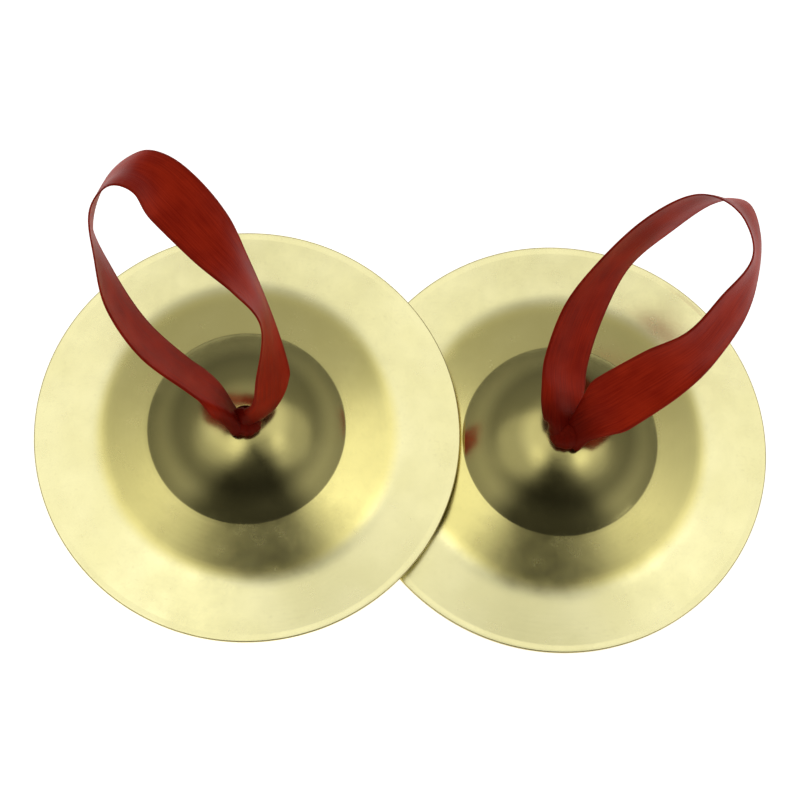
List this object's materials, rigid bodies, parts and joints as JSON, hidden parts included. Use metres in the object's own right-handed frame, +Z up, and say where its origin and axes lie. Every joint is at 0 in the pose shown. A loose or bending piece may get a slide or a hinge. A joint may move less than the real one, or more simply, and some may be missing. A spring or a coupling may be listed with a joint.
{
  "type": "finger cymbals",
  "caption": "Thin dished brass finger cymbals with domed bells, each held by a red satin ribbon knotted through its centre hole; one leans on the other.",
  "frame": {"origin": "on the floor under the middle of the pair's bounding box", "axes": "+X from the left cymbal's centre to the right one's, +Y towards the back where the loops lean, +Z up"},
  "size_m": [0.1562, 0.09, 0.0669],
  "materials": {
    "brass": "satin, fine turned grain",
    "ribbon": "dark red satin with woven edges"
  },
  "bodies": {
    "right_cymbal": {"cymbal_right": "brass"},
    "left_cymbal": {"cymbal_left": "brass"},
    "right_ribbon": {"ribbon_knot_right": "ribbon", "ribbon_back_tail_right": "ribbon", "ribbon_front_tail_right": "ribbon"},
    "right_loop": {"ribbon_loop_right": "ribbon"},
    "left_ribbon": {"ribbon_knot_left": "ribbon", "ribbon_back_tail_left": "ribbon", "ribbon_front_tail_left": "ribbon"},
    "left_loop": {"ribbon_loop_left": "ribbon"}
  },
  "joints": [
    {"name": "left_lift", "type": "slide", "parent": "right_cymbal", "child": "left_cymbal", "axis": [0, 0, 1], "range_m": [0, 0.06]},
    {"name": "left_swivel", "type": "hinge", "parent": "left_cymbal", "child": "left_ribbon", "pos_m": [-0.03378, 0, 0.01379], "axis": [-0.0558, 0, 0.9984], "continuous": true},
    {"name": "left_tilt", "type": "hinge", "parent": "left_ribbon", "child": "left_loop", "pos_m": [-0.03395, -0.0024, 0.01679], "axis": [0.8436, 0.5349, 0.0472], "range_deg": [-15, 60]},
    {"name": "right_swivel", "type": "hinge", "parent": "right_cymbal", "child": "right_ribbon", "pos_m": [0.03315, 0, 0.0113], "axis": [0, 0, 1], "continuous": true},
    {"name": "right_tilt", "type": "hinge", "parent": "right_ribbon", "child": "right_loop", "pos_m": [0.03315, -0.0024, 0.0143], "axis": [0.8123, -0.5832, 0], "range_deg": [-3, 75]}
  ]
}
